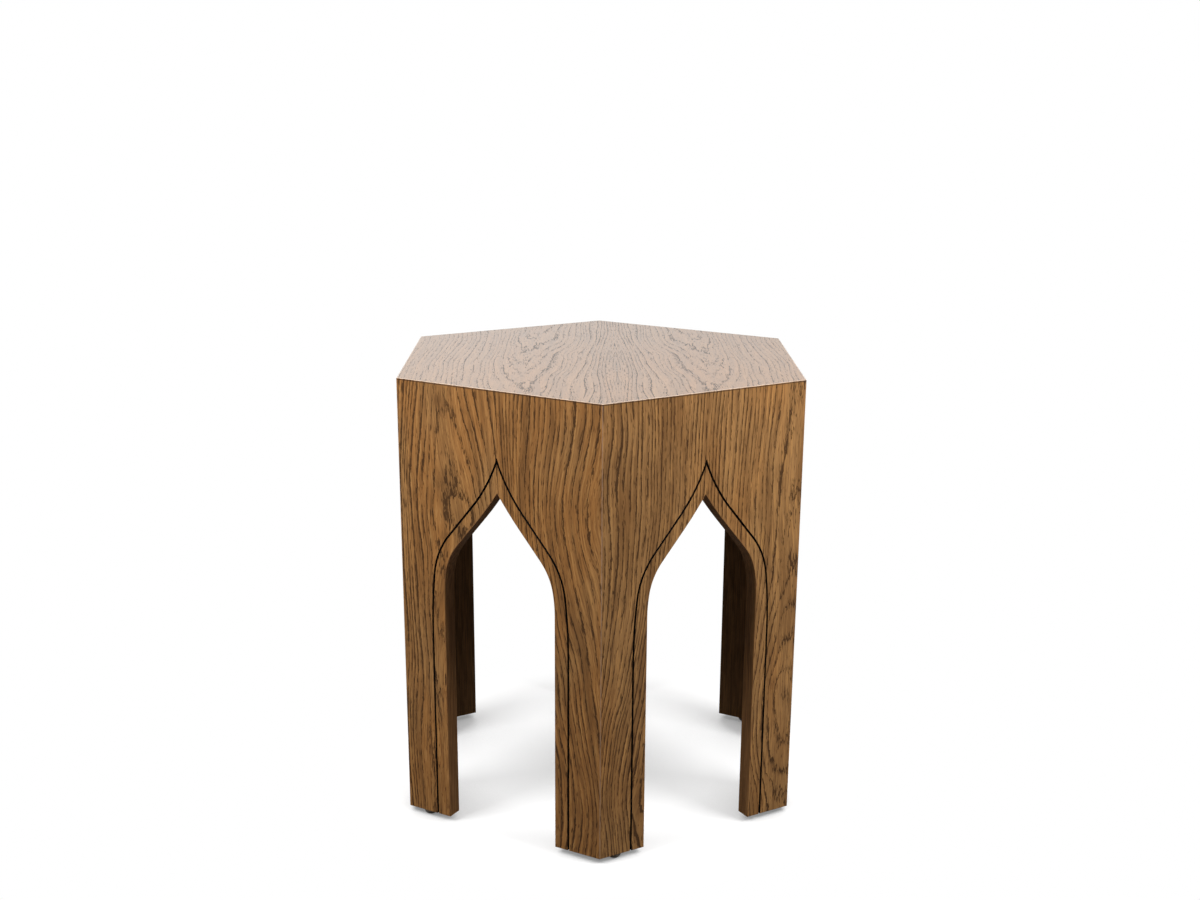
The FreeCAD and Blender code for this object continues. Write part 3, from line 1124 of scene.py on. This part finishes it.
FIGURES = {
    Side.LEFT_FRONT: Figure(
        hearts=(
            Heart(
                path=(
                    (0.0, -80.0, 13.6), (60.0, -80.0, 13.4), (136.0, -79.0, 13.0), (232.0, -77.0, 12.0),
                    (306.0, -75.0, 11.0), (352.0, -73.0, 10.0), (374.0, -72.0, 9.6), (394.0, -73.0, 10.0),
                    (412.0, -72.0, 10.15), (447.0, -70.0, 10.5), (480.0, -69.0, 11.0), (510.0, -68.0, 11.5),
                ),
                ring_width=3.5, left_ring_width=3.0, right_ring_width=7.0,
            ),
            Heart(
                path=((0.0, 150.0, 16.0), (510.0, 150.0, 16.0)),
                ring_width=5.0, left_ring_width=4.6, right_ring_width=4.6, count=-19.5,
            ),
        ),
        seed=1.3,
        warmth=0.85,
        bends=(
            Patch(90.0, 396.0, 60.0, 75.0, 15.0),
            Patch(124.0, 46.0, 95.0, 180.0, -45.0),
            Patch(-41.0, 336.0, 42.0, 110.0, -24.0),
        ),
        shades=(
            Patch(-74.0, 490.0, 10.0, 20.0, 1.0),
            Patch(-66.0, 452.0, 7.0, 26.0, 0.5),
            Patch(-72.0, 402.0, 11.0, 13.0, 0.9),
            Patch(120.0, 44.0, 9.0, 22.0, 0.8),
            Patch(-75.0, 225.0, 7.0, 22.0, 0.7),
        ),
    ),
    Side.RIGHT_FRONT: Figure(
        hearts=(
            Heart(
                path=(
                    (0.0, 121.0, 14.6), (36.0, 120.0, 14.0), (66.0, 118.0, 13.0), (100.0, 117.0, 12.4),
                    (134.0, 117.0, 12.0), (147.0, 117.0, 11.85), (160.0, 117.0, 12.0), (180.0, 118.0, 12.5),
                    (201.0, 119.0, 13.0), (245.0, 120.0, 14.0), (273.0, 121.0, 14.8), (303.0, 122.0, 15.4),
                    (400.0, 124.0, 16.2), (510.0, 125.0, 16.8),
                ),
                ring_width=3.4, left_ring_width=4.6, right_ring_width=3.6,
            ),
        ),
        seed=4.7,
        warmth=0.15,
        bends=(
            Patch(-105.0, 20.0, 55.0, 170.0, 34.0),
            Patch(100.0, 420.0, 40.0, 110.0, 9.0),
        ),
        swells=(Patch(-130.0, 470.0, 40.0, 260.0, -3.0),),
        shades=(
            Patch(-42.0, 478.0, 9.0, 36.0, 1.0),
            Patch(-27.0, 440.0, 6.0, 40.0, 0.7),
            Patch(-60.0, 410.0, 16.0, 60.0, 0.6),
            Patch(-80.0, 197.0, 6.0, 14.0, 0.8),
            Patch(110.0, 60.0, 12.0, 26.0, 0.6),
        ),
    ),
    Side.RIGHT: Figure(
        hearts=(
            Heart(
                path=(
                    (0.0, 30.0, 14.5), (120.0, 28.0, 13.6), (260.0, 24.0, 12.4), (330.0, 22.0, 11.6),
                    (380.0, 20.0, 11.0), (420.0, 20.0, 10.4), (455.0, 18.0, 10.1), (480.0, 18.0, 10.5),
                    (510.0, 16.0, 11.2),
                ),
                ring_width=3.6, left_ring_width=4.0, right_ring_width=5.2,
            ),
        ),
        seed=8.1,
        bends=(Patch(-100.0, 150.0, 60.0, 130.0, 16.0), Patch(95.0, 260.0, 50.0, 120.0, -14.0)),
    ),
    Side.RIGHT_BACK: Figure(
        hearts=(
            Heart(
                path=(
                    (0.0, -100.0, 16.0), (150.0, -92.0, 14.4), (260.0, -84.0, 13.0), (330.0, -78.0, 12.3),
                    (370.0, -76.0, 11.9), (410.0, -74.0, 12.2), (450.0, -72.0, 12.9), (510.0, -70.0, 14.0),
                ),
                ring_width=3.4, left_ring_width=3.8, right_ring_width=4.6,
            ),
        ),
        seed=11.9,
        bends=(Patch(60.0, 400.0, 70.0, 120.0, -14.0), Patch(100.0, 90.0, 60.0, 120.0, 12.0)),
    ),
    Side.LEFT_BACK: Figure(
        hearts=(
            Heart(
                path=(
                    (0.0, 96.0, 11.0), (60.0, 94.0, 11.6), (130.0, 92.0, 12.1), (190.0, 90.0, 11.7),
                    (260.0, 86.0, 12.6), (350.0, 82.0, 14.0), (430.0, 78.0, 15.2), (510.0, 76.0, 16.0),
                ),
                ring_width=3.6, left_ring_width=4.2, right_ring_width=3.6,
            ),
        ),
        seed=15.2,
        bends=(Patch(-60.0, 380.0, 60.0, 130.0, 14.0), Patch(-100.0, 120.0, 60.0, 110.0, -12.0)),
    ),
    Side.LEFT: Figure(
        hearts=(
            Heart(
                path=(
                    (0.0, -30.0, 15.0), (140.0, -28.0, 14.2), (280.0, -24.0, 13.0), (350.0, -22.0, 12.1),
                    (400.0, -20.0, 11.2), (440.0, -18.0, 10.7), (475.0, -16.0, 10.9), (510.0, -14.0, 11.6),
                ),
                ring_width=3.5, left_ring_width=4.8, right_ring_width=4.0,
            ),
        ),
        seed=19.6,
        bends=(Patch(95.0, 180.0, 60.0, 130.0, 16.0), Patch(-95.0, 300.0, 50.0, 120.0, -12.0)),
    ),
}
TOP_FIGURE = Figure(
    hearts=(
        Heart(
            path=(
                (-260.0, 98.0, 10.2), (-195.0, 100.0, 9.4), (-150.0, 104.0, 8.7), (-110.0, 107.0, 8.0),
                (-60.0, 108.0, 7.3), (-10.0, 106.0, 6.6), (40.0, 102.0, 5.8), (90.0, 99.0, 5.1),
                (130.0, 98.0, 4.5), (180.0, 98.0, 4.0), (260.0, 98.0, 3.2),
            ),
            ring_width=1.0, left_ring_width=30.0, right_ring_width=6.8, left_crowding=0.00112,
            far_share=0.30, middle_rings=6.5, left_far=92.0, right_far=34.0,
        ),
    ),
    seed=23.4,
    wobble=1.6,
    jag_width=4.5,
    uneven_years=4.2,
    bends=(
        Patch(66.0, -70.0, 22.0, 34.0, 7.0),
        Patch(58.0, 20.0, 20.0, 30.0, -6.0),
        Patch(70.0, 110.0, 20.0, 34.0, 6.0),
    ),
    swells=(Patch(260.0, 0.0, 70.0, 600.0, 4.0),),
    shades=(
        Patch(112.0, 150.0, 7.0, 26.0, 0.9),
        Patch(104.0, -60.0, 9.0, 24.0, 0.5),
        Patch(106.0, -120.0, 9.0, 22.0, 0.5),
        Patch(102.0, 30.0, 9.0, 26.0, 0.5),
    ),
)


def dress_solids(finishes: dict[str, bpy.types.Material]) -> list[str]:
    """Give solids of the frame one material each.

    Args:
        finishes: each solid's name with its material.

    Returns:
        The names of the dressed solids.
    """
    for node, material in finishes.items():
        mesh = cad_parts[node].data
        mesh.materials.clear()
        mesh.materials.append(material)
    return list(finishes)


def whole_table_wood(name: str, wood: PlainWood, effects: OakEffects, run: GrainRun) -> bpy.types.Material:
    """Plain wood that follows the whole table, for pieces that belong to no side.

    Args:
        name: the material's name.
        wood: the wood.
        effects: the shared effects.
        run: which way its grain runs.

    Returns:
        The material.
    """
    finish = Finish(name)
    x, y, z = finish.parts(finish.point_mm())
    place = finish.vector(x, y, z) if run is GrainRun.UPRIGHT else finish.vector(x, z, y)
    wood.lay(finish, effects, place, WHOLE_TABLE_SEED)
    return finish.material


@dataclass(frozen=True)
class SidePanel:
    """One side: its core, its outer and inner veneers, the border and the edging of its arch.

    The core is painted black down to the groove depth, and above the foot clearance. A point that
    faces less squarely out than the cut wall's step lies on the wall of a cut. In millimetres.
    """

    side: Side
    table: TableFrame
    effects: OakEffects
    groove_depth: float = 3.2
    foot_clearance: float = 0.05
    cut_wall: Step = Step(0.3, 0.6, 1.0, 0.0)
    # How strongly the worn edges with their painted highlight show.
    worn_highlight_share: float = 0.7
    # How strongly the painted shade line below the top shows.
    painted_shade_share: float = 0.85
    core_seed: float = 31.0
    edging_seed: float = 37.0
    inner_seed: float = 43.0
    spline_seed: float = 47.0

    def start(self, part: str) -> tuple[Finish, bpy.types.NodeOutputs]:
        """Begin a finish that follows this panel.

        Args:
            part: what the finish is for.

        Returns:
            The finish, and the place and facing of its points.
        """
        finish = Finish(f"{self.side.value}_{part}")
        placed = finish.effect(self.effects.panel_place, {
            "Turn": self.side.turn,
            "Face distance": self.table.face_distance,
        })
        return finish, placed

    def veneer(self) -> bpy.types.Material:
        """The outer veneer, which runs on across the groove.

        Returns:
            The material.
        """
        finish, placed = self.start("oak_veneer")
        oak = OakVeneer(self.effects, SIDE_OAK, FIGURES[self.side])
        colour, pores = oak.wood(finish, placed["Place"])
        edges = finish.effect(self.effects.panel_edges, {
            "Place": placed["Place"],
            "Half side": self.table.half_side,
            "Head": self.table.head,
            "Foot": self.table.foot,
        })
        # Worn edges with a painted highlight on them.
        worn_highlight = finish.math("MULTIPLY", edges["Rubbed"], self.worn_highlight_share)
        colour = finish.mix(worn_highlight, colour, WORN_EDGE_HIGHLIGHT)
        # A painted shade line just below the top's edge.
        painted_shade = finish.math("MULTIPLY", edges["Glue line"], self.painted_shade_share)
        colour = finish.mix(painted_shade, colour, SEAM_AND_SHADE_BROWN)
        cut_wall = finish.ease(placed["Facing"], self.cut_wall)
        finish.set(Base_Color=finish.mix(cut_wall, colour, GROOVE_BLACK))
        oak.lacquer(finish, pores)
        return finish.material

    def plain(self, part: str, wood: PlainWood, seed: float) -> bpy.types.Material:
        """A piece of plain wood.

        Args:
            part: what the finish is for.
            wood: the wood.
            seed: which stretch of the grain it is.

        Returns:
            The material.
        """
        finish, placed = self.start(part)
        wood.lay(finish, self.effects, placed["Place"], seed + self.side.turn)
        return finish.material

    def core(self) -> bpy.types.Material:
        """The board's core, painted black inside the groove.

        Returns:
            The material.
        """
        finish, placed = self.start("core")
        bare = CORE_BOARD.lay(finish, self.effects, placed["Place"], self.core_seed + self.side.turn)
        _, depth, height = finish.parts(placed["Place"])
        in_groove = finish.math("LESS_THAN", depth, self.groove_depth)
        above_foot = finish.math("GREATER_THAN", height, self.table.foot + self.foot_clearance)
        painted = finish.math("MULTIPLY", in_groove, above_foot)
        finish.set(Base_Color=finish.mix(painted, bare, GROOVE_BLACK))
        return finish.material

    def dress(self) -> list[str]:
        """Give each of the side's pieces its finish.

        Returns:
            The names of the dressed pieces.
        """
        veneer = self.veneer()
        edging = self.plain("edging", EDGING_OAK, self.edging_seed)
        finishes = {
            "face_veneer": veneer,
            "arch_border_veneer": veneer,
            "arch_edging_left": edging,
            "arch_edging_right": edging,
            "inner_veneer": self.plain("inner_veneer", INNER_OAK, self.inner_seed),
            "core_board": self.core(),
            "top_spline": self.plain("spline", SPLINE_PLYWOOD, self.spline_seed),
        }
        return dress_solids({f"{self.side.value}_{part}": material for part, material in finishes.items()})


@dataclass(frozen=True)
class TableTop:
    """The top: its board, the two leaves that meet at the seam, and the veneer below.

    The seam's and the rim's steps give how strongly they show by the distance from them, in millimetres.
    """

    table: TableFrame
    effects: OakEffects
    seam: Step = Step(0.1, 0.35, 0.5, 0.0)
    # How the pale rim, wear with a painted highlight, fades in from the edge.
    rim: Step = Step(0.7, 1.6, 1.0, 0.0)

    def leaves(self) -> bpy.types.Material:
        """The two leaves, folded open about the seam, so that one mirrors the other.

        Returns:
            The material.
        """
        finish = Finish("top_oak_veneer")
        placed = finish.effect(self.effects.top_place, {
            "Seam": self.table.seam,
            "Top level": self.table.head,
            "Face distance": self.table.face_distance,
        })
        oak = OakVeneer(self.effects, TOP_OAK, TOP_FIGURE)
        colour, pores = oak.wood(finish, placed["Place"])
        colour = finish.mix(finish.ease(placed["Seam distance"], self.seam), colour, SEAM_AND_SHADE_BROWN)
        # The pale rim is wear and a painted highlight of the rounded edge.
        colour = finish.mix(finish.ease(placed["Rim"], self.rim), colour, RIM_WEAR_AND_HIGHLIGHT)
        finish.set(Base_Color=colour)
        oak.lacquer(finish, pores)
        return finish.material

    def dress(self) -> list[str]:
        """Give each of the top's pieces its finish.

        Returns:
            The names of the dressed pieces.
        """
        leaves = self.leaves()
        run = GrainRun.FRONT_TO_BACK
        return dress_solids({
            "top_veneer_left": leaves,
            "top_veneer_right": leaves,
            "top_board": whole_table_wood("top_board_core", CORE_BOARD, self.effects, run),
            "top_underside_veneer": whole_table_wood("top_underside", INNER_OAK, self.effects, run),
        })


@dataclass(frozen=True)
class LegInsides:
    """The hidden splines and glue blocks at the six legs."""

    effects: OakEffects

    def dress(self) -> list[str]:
        """Give the splines and the blocks their finishes.

        Returns:
            The names of the dressed pieces.
        """
        run = GrainRun.UPRIGHT
        spline = whole_table_wood("leg_spline_plywood", SPLINE_PLYWOOD, self.effects, run)
        block = whole_table_wood("glue_block_wood", BLOCK_WOOD, self.effects, run)
        finishes = {}
        for leg in Leg:
            finishes[f"{leg.value}_leg_spline"] = spline
            finishes[f"{leg.value}_glue_block"] = block
        return dress_solids(finishes)


@dataclass(frozen=True)
class Glides:
    """The nail-on glides, of bronzed steel worn bright where they touch the floor. In millimetres."""

    bronze: Colour = stain(132, 120, 108)
    bright: Colour = stain(176, 168, 160)
    worn_height: Step = Step(0.2, 2.2, 1.0, 0.0)
    scuff_size: float = 2.2
    scuff_detail: float = 4.0
    scuff_roughness: float = 0.7
    scuff_step: Step = Step(0.35, 0.6)
    polish: Step = Step(0.3, 0.7, 0.35, 0.55)
    metal: float = 0.35
    scuff_relief: float = 0.03

    def dress(self) -> list[str]:
        """Give the glides their finish.

        Returns:
            The name of the dressed piece.
        """
        finish = Finish("glide_bronzed_steel")
        place = finish.point_mm()
        scuff_place = finish.vector_math("DIVIDE", place, (self.scuff_size,) * 3).outputs["Vector"]
        scuffs = finish.noise(scuff_place, self.scuff_detail, self.scuff_roughness)
        low_down = finish.ease(finish.parts(place)[2], self.worn_height)
        worn = finish.math("MULTIPLY", low_down, finish.ease(scuffs, self.scuff_step))
        finish.set(
            Base_Color=finish.mix(worn, self.bronze, self.bright),
            Metallic=self.metal,
            Roughness=finish.ease(scuffs, self.polish),
        )
        finish.relief(scuffs, self.scuff_relief)
        return dress_solids({"nail_on_glides": finish.material})


@dataclass(frozen=True)
class Softbox:
    """A square studio light that looks at the table."""

    name: str
    place: tuple[float, float, float]
    side: float
    watts: float
    target: tuple[float, float, float] = (0.0, 0.0, 0.25)
    hidden: bool = False

    def build(self) -> None:
        """Hang the light."""
        light = bpy.data.lights.new(self.name, "AREA")
        light.shape = "SQUARE"
        light.size = self.side
        light.energy = self.watts
        lamp = bpy.data.objects.new(self.name, light)
        lamp.location = self.place
        aim = Vector(self.target) - lamp.location
        lamp.rotation_euler = aim.to_track_quat("-Z", "Y").to_euler()
        lamp.visible_camera = not self.hidden
        lamp.visible_glossy = not self.hidden
        bpy.context.scene.collection.objects.link(lamp)


@dataclass(frozen=True)
class StudioFloor:
    """A floor that the camera sees white, with the table's shadow on it, and that is clear from below.

    Near the table it shows its own light and shade, and past the sweep it is plain white. The lift
    is the light that it gives by itself, and the contact darkens it right beside the feet. All rays
    but the camera's meet it as a plain grey.
    """

    half: float = 6.0
    sweep: Step = Step(0.24, 0.32)
    lift: float = 0.32
    sky_lift: float = 0.51
    sky_reach: float = 3.0
    white: float = 0.46
    grey: float = 0.12
    contact_reach: float = 0.03
    contact_fade: Step = Step(0.05, 0.75, 0.55, 1.0)
    samples: int = 8

    def openness(self, sheet: NodeSheet, reach: float) -> Socket:
        """How open the floor is to the sky, as far as a reach."""
        inputs = {"Distance": reach}
        return sheet.node("ShaderNodeAmbientOcclusion", inputs, samples=self.samples).outputs["AO"]

    def near_surface(self, sheet: NodeSheet) -> bpy.types.Node:
        """The floor near the table: white, with soft shade.

        Args:
            sheet: the material under way.

        Returns:
            The shader's node.
        """
        contact = sheet.ease(self.openness(sheet, self.contact_reach), self.contact_fade)
        white = sheet.mix(contact, BLACK, neutral(self.white))
        shaded = sheet.node("ShaderNodeBsdfDiffuse", {"Color": white})
        sky = self.openness(sheet, self.sky_reach)
        lifted = sheet.math("MULTIPLY", sheet.math("MULTIPLY_ADD", sky, self.sky_lift, self.lift), contact)
        glow = sheet.node("ShaderNodeEmission", {"Color": WHITE, "Strength": lifted})
        near = sheet.node("ShaderNodeAddShader")
        sheet.feed(near.inputs[0], shaded.outputs[0])
        sheet.feed(near.inputs[1], glow.outputs[0])
        return near

    def finish(self) -> bpy.types.Material:
        """Make the floor's material.

        Returns:
            The material.
        """
        material = bpy.data.materials.new("studio_floor")
        material.use_nodes = True
        sheet = NodeSheet(material.node_tree)
        point = sheet.node("ShaderNodeTexCoord").outputs["Object"]
        distance = sheet.vector_math("LENGTH", point).outputs["Value"]
        far = sheet.node("ShaderNodeEmission", {"Color": WHITE, "Strength": 1.0})
        seen = sheet.blend(sheet.ease(distance, self.sweep), self.near_surface(sheet), far)
        lit = sheet.node("ShaderNodeBsdfDiffuse", {"Color": neutral(self.grey)})
        camera_ray = sheet.node("ShaderNodeLightPath").outputs["Is Camera Ray"]
        from_above = sheet.blend(camera_ray, lit, seen)
        clear = sheet.node("ShaderNodeBsdfTransparent")
        from_below = sheet.node("ShaderNodeNewGeometry").outputs["Backfacing"]
        surface = sheet.blend(from_below, from_above, clear)
        sheet.node("ShaderNodeOutputMaterial", {"Surface": surface.outputs[0]})
        return material

    def build(self) -> None:
        """Lay the floor."""
        mesh = bpy.data.meshes.new("studio_floor")
        drawn = bmesh.new()
        bmesh.ops.create_grid(drawn, x_segments=1, y_segments=1, size=self.half)
        drawn.to_mesh(mesh)
        drawn.free()
        mesh.materials.append(self.finish())
        floor = bpy.data.objects.new("studio_floor", mesh)
        bpy.context.scene.collection.objects.link(floor)
        floor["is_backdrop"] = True


@dataclass(frozen=True)
class StudioCamera:
    """The camera, where the photograph was taken from. Angles are in degrees."""

    place: tuple[float, float, float] = (-0.01556, -1.7474, 0.8400)
    yaw: float = 0.699
    pitch: float = 17.199
    roll: float = 0.428
    lens: float = 46.365
    sensor: float = 36.0
    shift_x: float = -0.00377
    shift_y: float = 0.06907

    def build(self) -> None:
        """Make the camera and turn it to its view."""
        data = bpy.data.cameras.new("studio_camera")
        data.sensor_fit = "HORIZONTAL"
        data.sensor_width = self.sensor
        data.lens = self.lens
        data.shift_x = self.shift_x
        data.shift_y = self.shift_y
        camera = bpy.data.objects.new("studio_camera", data)
        level = Matrix.Rotation(math.radians(90 - self.pitch), 4, "X")
        swung = Matrix.Rotation(math.radians(-self.yaw), 4, "Z") @ level
        rolled = swung @ Matrix.Rotation(math.radians(self.roll), 4, "Z")
        camera.matrix_world = Matrix.Translation(self.place) @ rolled
        bpy.context.scene.collection.objects.link(camera)
        bpy.context.scene.camera = camera


@dataclass(frozen=True)
class Studio:
    """The surroundings, the lights, the floor and the camera.

    A softbox hangs on each side, a little in front of the table, and a wide one far behind it. The
    reflected white is a little dimmer on the right.
    """

    reflected: Step = Step(-0.12, 0.16, 1.0, 0.86)
    fill: float = 0.03
    softbox_side: float = 0.55
    softbox_out: float = 0.96
    softbox_front: float = 0.58
    softbox_height: float = 1.20
    left_watts: float = 18.9
    right_watts: float = 20.9
    back_side: float = 1.2
    back_watts: float = 28.0
    back_place: tuple[float, float, float] = (0.0, 2.20, 1.60)

    def build_backdrop(self) -> None:
        """Make the surroundings: white to the camera and in reflections, and a soft fill light."""
        world = bpy.data.worlds.new("studio")
        world.use_nodes = True
        sheet = NodeSheet(world.node_tree)
        path = sheet.node("ShaderNodeLightPath").outputs
        shown = sheet.math("MAXIMUM", path["Is Camera Ray"], path["Is Glossy Ray"])
        shown = sheet.math("MAXIMUM", shown, path["Is Transmission Ray"])
        direction = sheet.node("ShaderNodeTexCoord").outputs["Generated"]
        reflected = sheet.ease(sheet.parts(direction)[0], self.reflected)
        white = sheet.between(path["Is Camera Ray"], reflected, 1.0)
        strength = sheet.between(shown, self.fill, white)
        background = sheet.node("ShaderNodeBackground", {"Color": WHITE, "Strength": strength})
        sheet.node("ShaderNodeOutputWorld", {"Surface": background.outputs["Background"]})
        bpy.context.scene.world = world

    def build_lights(self) -> None:
        """Hang the three softboxes."""
        out, front, height = self.softbox_out, self.softbox_front, self.softbox_height
        Softbox("left_softbox", (-out, -front, height), self.softbox_side, self.left_watts).build()
        Softbox("right_softbox", (out, -front, height), self.softbox_side, self.right_watts).build()
        Softbox("back_softbox", self.back_place, self.back_side, self.back_watts, hidden=True).build()

    def build(self) -> None:
        """Set up the whole studio."""
        StudioFloor().build()
        self.build_backdrop()
        self.build_lights()
        StudioCamera().build()
        bpy.context.scene.view_settings.view_transform = "Standard"


def main() -> None:
    """Dress the table and set it in the studio."""
    logging.basicConfig(level=logging.INFO, format="%(name)s: %(message)s")
    table = TableFrame.read()
    effects = OakEffects()
    sides = [SidePanel(side, table, effects) for side in Side]
    for assembly in (*sides, TableTop(table, effects), LegInsides(effects), Glides()):
        for piece in assembly.dress():
            log.info("%s is dressed", piece)
    Studio().build()
    log.info("the studio is built")


if __name__ == "__main__":
    main()
